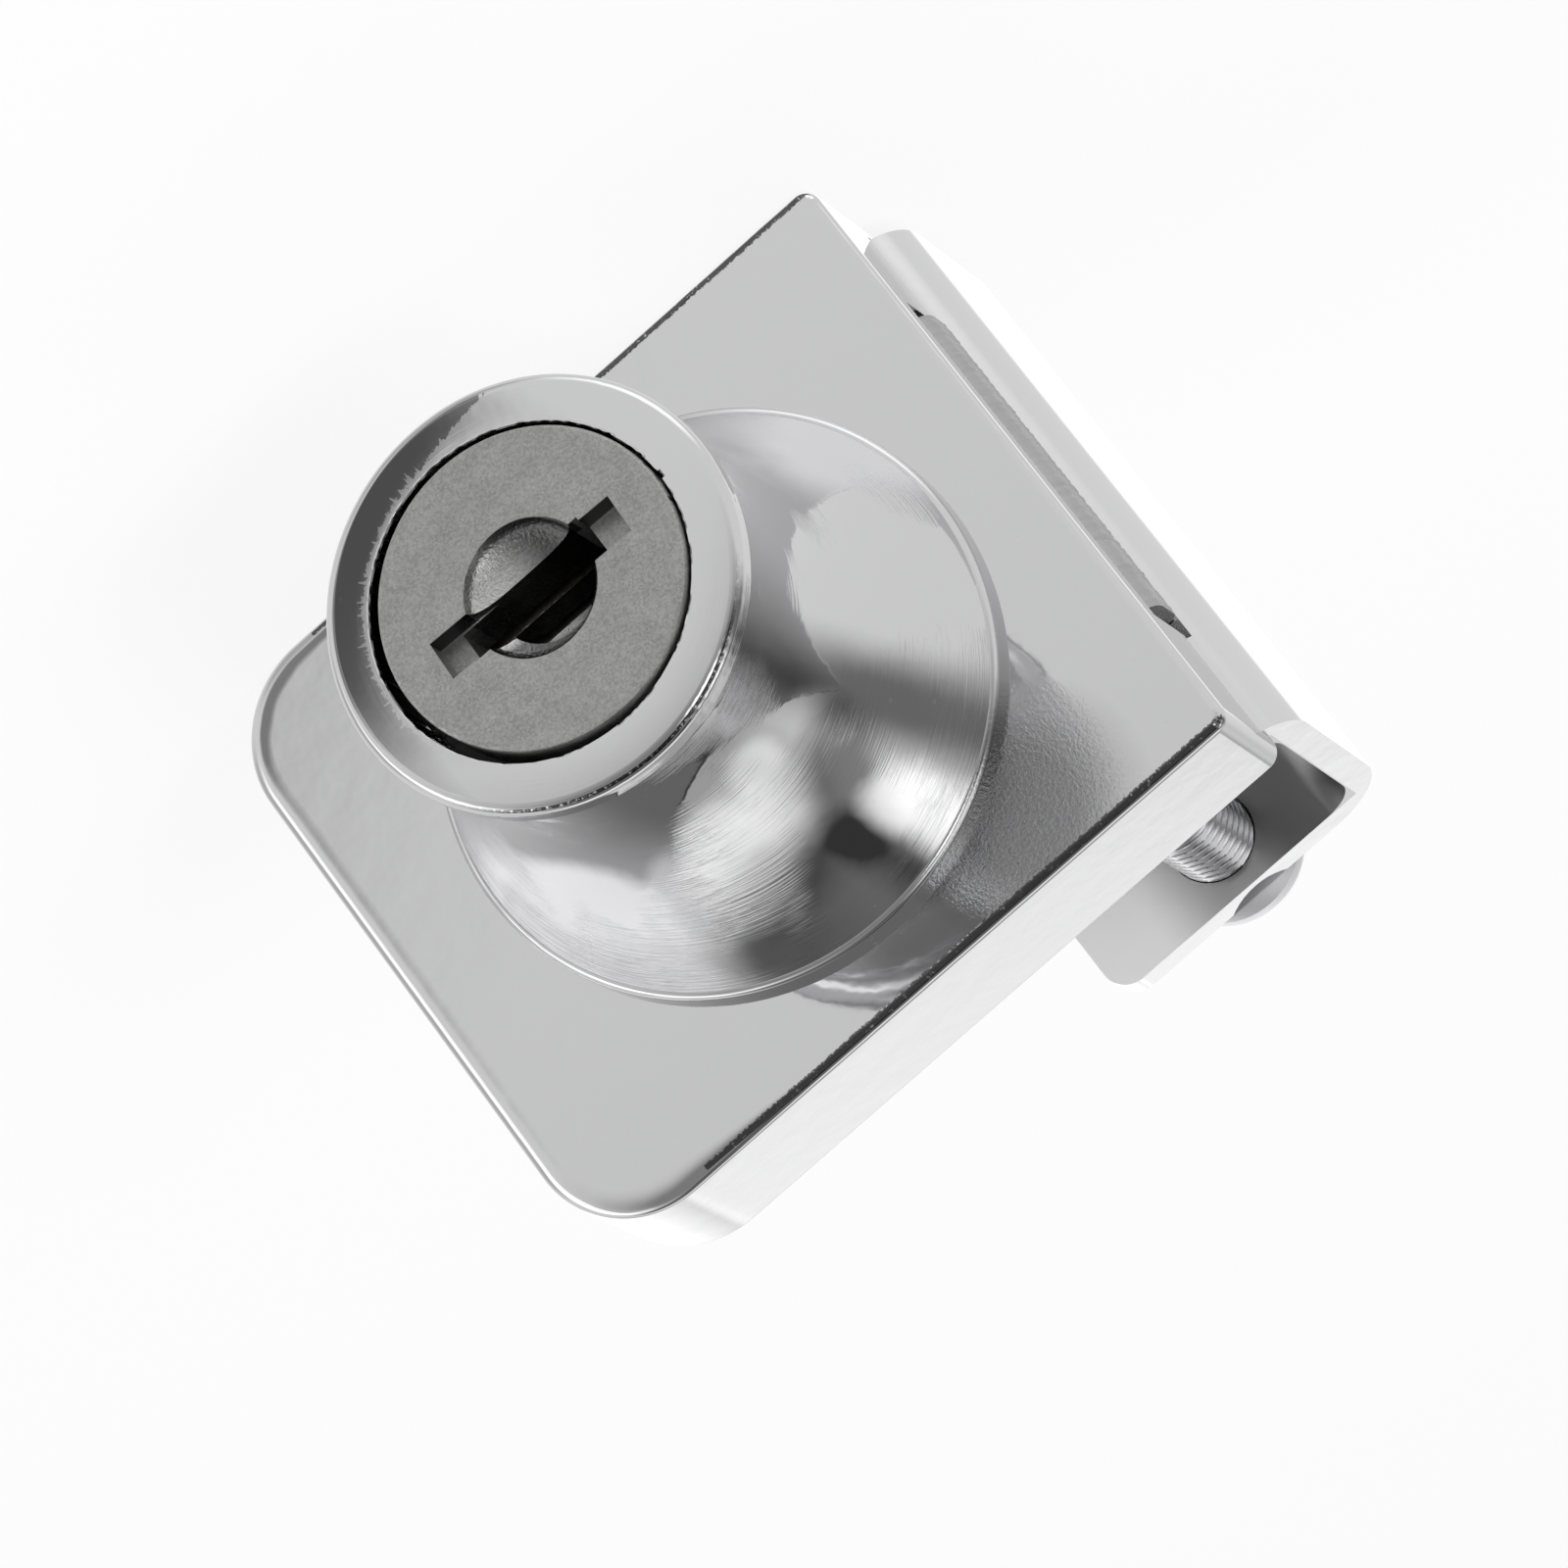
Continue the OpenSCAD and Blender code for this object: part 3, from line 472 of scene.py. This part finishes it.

    # Pitted patch on the front of the plate, between the boss and the upper corner at the clamp: real pits,
    # made greyer by a painted dark reflection of the boss
    off_pitted = add(tree, "VectorMath", (flat, (-7.5 * MM, 0, 13 * MM)), operation="DISTANCE")
    off_pitted = off_pitted.outputs["Value"]
    pitted_with_painted_reflection = inside(tree, depth, high=(plate_front + 0.1) * MM)
    for share in (add(tree, "MapRange", (off_pitted, 6.0 * MM, 2.5 * MM, 0.0, cast)),
                  add(tree, "MapRange", (depth, (plate_front - 1.0) * MM, (plate_front - 0.6) * MM))):
        pitted_with_painted_reflection = add(tree, "Math", (pitted_with_painted_reflection, share), operation="MULTIPLY")
    painted_reflection_grey = add(tree, "Math", (pitted_with_painted_reflection, 0.5), operation="MULTIPLY")
    tone = add(tree, "Mix", {0: painted_reflection_grey, 6: tone, 7: linear("5a5a5a")}, data_type="RGBA").outputs[2]
    coarse = add(tree, "TexNoise", {"Vector": here, "Scale": 1 / (0.2 * MM), "Detail": 3.0, "Roughness": 0.7})
    coarse = add(tree, "Math", (coarse, pitted_with_painted_reflection), operation="MULTIPLY")
    normal = add(tree, "Bump", {"Height": coarse, "Strength": 1.0, "Distance": 0.022 * MM, "Normal": normal})
    normal = add(tree, "Bump", {"Height": crescent, "Strength": 1.0, "Distance": 0.012 * MM,
                                "Normal": normal})

    # Dark line painted along the upper and lower front edges, a painted reflection on their rounded plating
    rim_z = add(tree, "Math", (z,), operation="ABSOLUTE")
    uneven = add(tree, "MapRange", (chips, 0.3, 0.7, -0.1 * MM, 0.1 * MM))
    rim_z = add(tree, "Math", (rim_z, uneven), operation="ADD")
    painted_edge_reflection = inside(tree, rim_z, (plate_half - 0.42) * MM)
    for share in (inside(tree, depth, high=(plate_front + 0.14) * MM), inside(tree, x, high=12.5 * MM),
                  add(tree, "MapRange", (chips, 0.66, 0.6, 0.0, 0.85 * cast))):
        painted_edge_reflection = add(tree, "Math", (painted_edge_reflection, share), operation="MULTIPLY")
    tone = add(tree, "Mix", {0: painted_edge_reflection, 6: tone, 7: linear("3c3c3c")}, data_type="RGBA").outputs[2]

    # Faces towards the glass: satin, and on the sheet more matt and less metallic at the end of the rear leg,
    # where a paler tone is painted light
    inner = inside(tree, depth, -0.05 * MM, 11.05 * MM)
    inner = add(tree, "Math", (inner, inside(tree, x, -16.9 * MM)), operation="MULTIPLY")
    leg_end_matt_and_painted_light = add(tree, "MapRange", (x, -10.0 * MM, -6.0 * MM), interpolation_type="SMOOTHSTEP")
    leg_end_matt_and_painted_light = add(tree, "Math", (leg_end_matt_and_painted_light, 1.0 - cast), operation="MULTIPLY")
    pale = add(tree, "Mix", {0: leg_end_matt_and_painted_light, 6: linear("c6c6c6"), 7: linear("f4f4f4")}, data_type="RGBA")
    pale = pale.outputs[2]
    inner_only = add(tree, "Math", (inner, bore), operation="SUBTRACT", use_clamp=True)
    tone = add(tree, "Mix", {0: inner_only, 6: tone, 7: pale}, data_type="RGBA").outputs[2]
    satin = add(tree, "Math", (bore, inner), operation="MAXIMUM")
    bright_rough = add(tree, "MapRange", (streak, 0.0, 1.0, 0.04, 0.12))
    satin_rough = add(tree, "MapRange", (leg_end_matt_and_painted_light, 0.0, 1.0, 0.3, 0.9))
    rough = add(tree, "Mix", {0: satin, 2: bright_rough, 3: satin_rough})
    less_metal = add(tree, "Math", (leg_end_matt_and_painted_light, inner_only), operation="MULTIPLY")
    metallic = add(tree, "MapRange", (less_metal, 0.0, 1.0, 1.0, 0.35))
    metal = add(tree, "BsdfPrincipled", {"Base Color": tone, "Metallic": metallic, "Roughness": rough,
                                         "Normal": normal})
    add(tree, "OutputMaterial", {"Surface": metal})
    return made


def smooth(piece, angle=32):
    """Shades curved faces smooth, keeps edges sharper than an angle, and keeps flat faces flat."""
    piece.data.shade_smooth()
    piece.data.set_sharp_from_angle(angle=math.radians(angle))
    step = piece.modifiers.new("flat_faces", "WEIGHTED_NORMAL")
    step.keep_sharp = True
    step.weight = 50


# Chromium plate over polished zinc
casting = place("housing_casting", casting_mesh, plating("chromium_plate_on_zinc", "cbcbcc", 0.018, 1.0))
smooth(casting)
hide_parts("housing")
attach(casting, "frame")


# Clamp bracket
# Steel sheet 1.4 mm thick, bent to a U round the edge of the glass and plated like the housing.
# Its front leg lies in the back of the housing, held by the bracket screws.
def dress(node, material):
    """Gives a CAD node its material, and shades its round faces smooth without moving a point."""
    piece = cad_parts[node]
    piece.data.materials.clear()
    piece.data.materials.append(material)
    piece.data.shade_smooth()
    join = piece.modifiers.new("join", "WELD")
    join.merge_threshold = 0.0005 * MM
    crease = piece.modifiers.new("crease", "EDGE_SPLIT")
    crease.split_angle = math.radians(32)
    crease.use_edge_sharp = False
    step = piece.modifiers.new("flat_faces", "WEIGHTED_NORMAL")
    step.weight = 50


# Chromium plate over steel sheet, without polishing marks
dress("clamp_bracket", plating("chromium_plate_on_steel", "d2d2d3", 0.0, 0.0))

# Plug
# Die-cast zinc left bare, which turns in the bore of the boss and is held by the retaining clip.
# Its face has a round hollow and a recess for the shoulder of the key, turned by 2 degrees.
head_y, key_end = -27.1, -25.85
head_r, body_r, groove_r = 6.86, 6.65, 5.6
play = np.array((-0.2, 0, 0.06))
plug_lines = [(head_r - 0.14, head_y), (head_r - 0.04, head_y + 0.03), (head_r, head_y + 0.12),
              (head_r, -24.65),
              (body_r, -24.65), (body_r, -5.75), (groove_r, -5.75), (groove_r, -5.08),
              (body_r, -5.08), (body_r, -4.05)]
plug_rings = turned(plug_lines, 256)
plug_rings[:4] += play
plug_rings[:2, :, 1] += 0.012 + 0.012 * ragged(256, 9, 90, 31)

bowl_r, bowl_depth = 2.95, 0.95
bowl = [(bowl_r + 0.1, head_y - 0.3), (bowl_r + 0.06, head_y - 0.02)]
bowl += [(bowl_r * math.cos(t) ** 0.5, head_y + bowl_depth * math.sin(t) ** 0.8)
         for t in np.linspace(0.06, math.pi / 2 - 0.04, 22)]
pocket_r, pocket_low = 2.4, 0.8
arc = np.linspace(math.asin(pocket_low / pocket_r), math.pi - math.asin(pocket_low / pocket_r), 40)
pocket_rings = [np.stack([pocket_r * np.cos(arc) - 0.35, np.full(40, y), pocket_r * np.sin(arc)], axis=-1)
                for y in (head_y + 0.2, -24.0)]
swing, key_half, key_wide, past_head = math.radians(2), 0.95, 4.78, -28.1
key_x, key_z = np.array([-1, 1, 1, -1]) * key_wide, np.array([-1, -1, 1, 1]) * key_half
key_rings = [np.stack([key_x * math.cos(swing) + key_z * math.sin(swing), np.full(4, y),
                       key_z * math.cos(swing) - key_x * math.sin(swing)], axis=-1) + play
             for y in (past_head, key_end)]
hollows = [solid("bowl", turned(bowl, 128) + play), solid("pocket", np.array(pocket_rings) + play),
           box("keyway", (-3.45, past_head, -key_half), (3.45, -9.9, key_half)), solid("key_end", key_rings),
           solid("pin_seat", turned([(1.22, -8.1), (1.22, -3.0)], 48) + np.array([3.0, 0, -3.0]))]
first_wafer, wafer_pitch, slot_half = -23.02, 2.5, 0.43
for number in range(1, 6):
    middle = first_wafer + wafer_pitch * (number - 1)
    side = 1 if number % 2 else -1
    low, high = sorted((side * -2.22, side * 1.75))
    hollows.append(box("wafer_slot", (-7.6, middle - slot_half, -2.0), (7.6, middle + slot_half, 2.0)))
    hollows.append(box("spring_pocket", (low, middle - slot_half, 0), (high, middle + slot_half, 3.25)))

# Bare cast zinc: a fine matt grain with flecks on the face, a brighter dimpled hollow, dark in its shade
cast_zinc, tree = blank("bare_cast_zinc")
here = add(tree, "TexCoord").outputs["Object"]
at = add(tree, "SeparateXYZ", (here,)).outputs
grain = add(tree, "TexNoise", {"Vector": here, "Scale": 1 / (0.1 * MM), "Detail": 3.0, "Roughness": 0.7})
blotch = add(tree, "TexNoise", {"Vector": here, "Scale": 1 / (1.3 * MM), "Detail": 3.0})
specks = add(tree, "TexVoronoi", {"Vector": here, "Scale": 1 / (0.09 * MM)}).outputs["Color"]
hollow = inside(tree, round_axis(tree, here)[1], high=3.05 * MM)
hollow = add(tree, "Math", (hollow, inside(tree, at["Y"], (head_y + 0.03) * MM)), operation="MULTIPLY")
mottle = add(tree, "Mix", {0: blotch, 6: linear("9a9a99"), 7: linear("b8b8b7")}, data_type="RGBA").outputs[2]
fleck = add(tree, "MapRange", (add(tree, "SeparateColor", (specks,)), 0.0, 1.0, 0.82, 1.12))
tone = add(tree, "VectorMath", {0: mottle, "Scale": fleck}, operation="SCALE")
rough = add(tree, "Mix", {0: hollow, 2: add(tree, "MapRange", (grain, 0.0, 1.0, 0.4, 0.6)), 3: 0.22})
dimple = add(tree, "TexNoise", {"Vector": here, "Scale": 1 / (0.16 * MM), "Detail": 2.0})
dimple = add(tree, "Math", (dimple, hollow), operation="MULTIPLY")
normal = add(tree, "Bump", {"Height": grain, "Strength": 1.0, "Distance": 0.01 * MM})
normal = add(tree, "Bump", {"Height": dimple, "Strength": 1.0, "Distance": 0.05 * MM, "Normal": normal})
left = add(tree, "MapRange", (at["X"], 1.2 * MM, -1.8 * MM, 0.0, 0.9), interpolation_type="SMOOTHSTEP")
above = add(tree, "MapRange", (at["Z"], 0.9 * MM, 1.4 * MM, 0.0, 0.8))
shade = add(tree, "Math", (left, above), operation="MAXIMUM")
shade = add(tree, "Math", (shade, hollow), operation="MULTIPLY")
tone = add(tree, "Mix", {0: hollow, 6: tone, 7: linear("bcbcbb")}, data_type="RGBA").outputs[2]
tone = add(tree, "Mix", {0: shade, 6: tone, 7: linear("3c3c3c")}, data_type="RGBA").outputs[2]
# Walls of the recess for the key, which lie in shade
off_slot = add(tree, "VectorMath", (here, (math.sin(swing), 0, math.cos(swing))), operation="DOT_PRODUCT")
off_slot = add(tree, "Math", (off_slot.outputs["Value"],), operation="ABSOLUTE")
off_axis = add(tree, "Math", (at["X"],), operation="ABSOLUTE")
wall = inside(tree, off_slot, 0.83 * MM, 1.06 * MM)
for share in (inside(tree, off_axis, 2.6 * MM),
              inside(tree, at["Y"], (head_y + 0.07) * MM, (key_end - 0.1) * MM)):
    wall = add(tree, "Math", (wall, share), operation="MULTIPLY")
tone = add(tree, "Mix", {0: wall, 6: tone, 7: linear("454545")}, data_type="RGBA").outputs[2]
metal = add(tree, "BsdfPrincipled", {"Base Color": tone, "Metallic": 1.0, "Roughness": rough,
                                     "Normal": normal})
add(tree, "OutputMaterial", {"Surface": metal})

plug = place("plug_core", carve(solid("plug", plug_rings), hollows), cast_zinc)
smooth(plug, 30)
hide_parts("plug")
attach(plug, "plug")


# Bolt
# Flat steel bar with one rounded edge and burrs on its sheared end. It slides in the chamber of
# the housing, and the crank pin of the plug moves it by a slot across it.
def plain_metal(name, base, rough, grain, deep, matt_and_painted_light_from=None):
    """Metal with a fine grain: base colour, roughness, size and depth of the grain in millimetres,
    and the depth in millimetres from which on it is matt and painted light."""
    made, tree = blank(name)
    here = add(tree, "TexCoord").outputs["Object"]
    fine = add(tree, "TexNoise", {"Vector": here, "Scale": 1 / (grain * MM), "Detail": 4.0, "Roughness": 0.6})
    blotches = add(tree, "TexNoise", {"Vector": here, "Scale": 1 / (12 * grain * MM), "Detail": 3.0})
    dark = tuple(c * 0.78 for c in linear(base)[:3]) + (1,)
    tone = add(tree, "Mix", {0: blotches, 6: dark, 7: linear(base)}, data_type="RGBA").outputs[2]
    gloss = add(tree, "MapRange", (fine, 0.0, 1.0, rough * 0.85, rough * 1.15))
    if matt_and_painted_light_from is not None:
        # From this depth on: matt, and a paler tone of painted light
        matt_and_painted_light_part = inside(tree, add(tree, "SeparateXYZ", (here,)).outputs["Y"], matt_and_painted_light_from * MM)
        tone = add(tree, "Mix", {0: matt_and_painted_light_part, 6: tone, 7: linear("dcdcde")}, data_type="RGBA").outputs[2]
        gloss = add(tree, "Mix", {0: matt_and_painted_light_part, 2: gloss, 3: 0.42})
    normal = add(tree, "Bump", {"Height": fine, "Strength": 1.0, "Distance": deep * MM})
    metal = add(tree, "BsdfPrincipled", {"Base Color": tone, "Metallic": 1.0, "Roughness": gloss,
                                         "Normal": normal})
    add(tree, "OutputMaterial", {"Surface": metal})
    return made


nose, tail, bolt_front, bolt_rear, bolt_half = -17.1, 8.0, -3.85, -0.95, 9.2
nose_r, nose_cut, tail_cut = 1.25, 0.25, 0.3
bolt_line = [(nose + nose_r * (1 - math.sin(t)), bolt_front + nose_r * (1 - math.cos(t)))
             for t in quarter[::-1]]
bolt_line += [(x, bolt_front) for x in np.linspace(nose + nose_r, tail - tail_cut, 12)[1:]]
bolt_line += [(tail, bolt_front + tail_cut), (tail, bolt_rear - tail_cut), (tail - tail_cut, bolt_rear)]
bolt_line += [(x, bolt_rear) for x in np.linspace(tail - tail_cut, nose + nose_cut, 12)[1:]]
bolt_line += [(nose, bolt_rear - nose_cut)]
slices = 160
bolt_rings = []
for stop, burr in zip(np.linspace(-bolt_half, bolt_half, slices), 0.05 * ragged(slices, 6, 70, 11)):
    line = np.array(bolt_line)
    line[:, 0] += np.where(line[:, 0] < nose + 0.6, 0.05 + burr, 0)
    bolt_rings.append(np.stack([line[:, 0], line[:, 1], np.full(len(line), stop)], axis=-1))
yoke_x, yoke_r, yoke_high, yoke_low = 3, 1.4, -2.8, -4.443
half_turn = np.linspace(0, math.pi, 17)
yoke = np.concatenate([
    np.stack([yoke_x + yoke_r * np.cos(half_turn), yoke_high + yoke_r * np.sin(half_turn)], -1),
    np.stack([yoke_x - yoke_r * np.cos(half_turn), yoke_low - yoke_r * np.sin(half_turn)], -1)])
yoke_rings = [np.stack([yoke[:, 0], np.full(len(yoke), y), yoke[:, 1]], axis=-1) for y in (-5.0, 0.0)]
step = box("step", (-18.2, -5.0, 8.3), (-16.5, 0.0, 10.0))
bar = carve(solid("bolt", bolt_rings), [solid("yoke", yoke_rings), step])
# Steel as the shears left it
bolt = place("bolt_bar", bar, plain_metal("sheared_steel", "b8b8b8", 0.5, 0.12, 0.02))
smooth(bolt, 40)
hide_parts("bolt")
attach(bolt, "bolt")

# Springs, clip and crank pin
# Hidden in the lock: a coil spring under each wafer, the open ring that holds the plug in the housing,
# and the pin pressed into the back of the plug.
# Spring steel, drawn and oiled
steel = plain_metal("oiled_spring_steel", "8c8d90", 0.3, 0.1, 0.002)
for node in ("retaining_clip", "crank_pin") + tuple(f"wafer_spring_{i}" for i in range(1, 6)):
    dress(node, steel)

# Wafers
# Five stamped plates, which slide across the plug in their slots and stand level with it
# while a key is in. Their edges are seen in the keyway.
# Brass sheet, dark and greyish
brass = plain_metal("stamped_brass", "6a6454", 0.4, 0.1, 0.003)
for number in range(1, 6):
    dress(f"wafer_{number}", brass)

# Bracket screws
# Four countersunk screws. They go through the bracket's front leg into the back of the housing.
# Bright plated steel, more matt behind the seat of the clamp screws' heads, where a paler tone is painted
# light
seat_y = 12.45
bright = plain_metal("bright_plated_steel", "c4c4c6", 0.18, 0.2, 0.002, seat_y - 0.03)
dress("bracket_screws", bright)


# Clamp screws
# Pan-head machine screws M4 of bright plated steel, with a cross recess. They are turned in
# through the rear leg, and their tips press on the glass.
def threaded(x, z):
    """Closed mesh of a screw: rings whose radius follows a V thread wound round the axis,
    r = outer radius - depth times how far the turn is from the crest, then the rounded head."""
    sides, pitch, outer_r, thread_depth = 64, 0.7, 2.0, 0.34
    tip, top, head_edge = 4.65, 14.52, 0.9
    t = np.linspace(0, 2 * math.pi, sides, endpoint=False)
    depth = np.arange(tip + 0.25, seat_y - 0.3, pitch / 14)
    phase = (depth[:, None] / pitch - t[None, :] / (2 * math.pi)) % 1.0
    valley = np.clip(1.35 * np.abs(2 * phase - 1) - 0.2, 0, 1)
    start = np.clip((depth - tip) / 0.9, 0, 1)[:, None]
    radius = (outer_r - thread_depth * valley) * (0.86 + 0.14 * start)
    one = np.ones(sides)
    lines = [(1.2 * one, tip), (1.62 * one, tip + 0.12)]
    lines += list(zip(radius, depth))
    lines += [(1.8 * one, seat_y - 0.2), (1.8 * one, seat_y), (2.9 * one, seat_y)]
    lines += [(3.45 * one, seat_y + 0.35), (3.45 * one, seat_y + head_edge)]
    lines += [((2.3 + 1.15 * math.cos(a)) * one,
               seat_y + head_edge + (top - seat_y - head_edge) * math.sin(a))
              for a in quarter[1:]]
    rings = [np.stack([x + r * np.cos(t), np.full(sides, y), z + r * np.sin(t)], axis=-1) for r, y in lines]
    long_half, short_half, recess_floor = 1.8, 0.4, 13.4
    cross = [box("cross", (x - w, recess_floor, z - h), (x + w, 15.0, z + h))
             for w, h in ((long_half, short_half), (short_half, long_half))]
    return carve(solid("screw", rings), cross)


for node, z in (("clamp_screw_upper", 12.0), ("clamp_screw_lower", -12.0)):
    screw = place(node + "_m4", threaded(-10.7, z), bright)
    smooth(screw, 40)
    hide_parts(node)
    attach(screw, node)
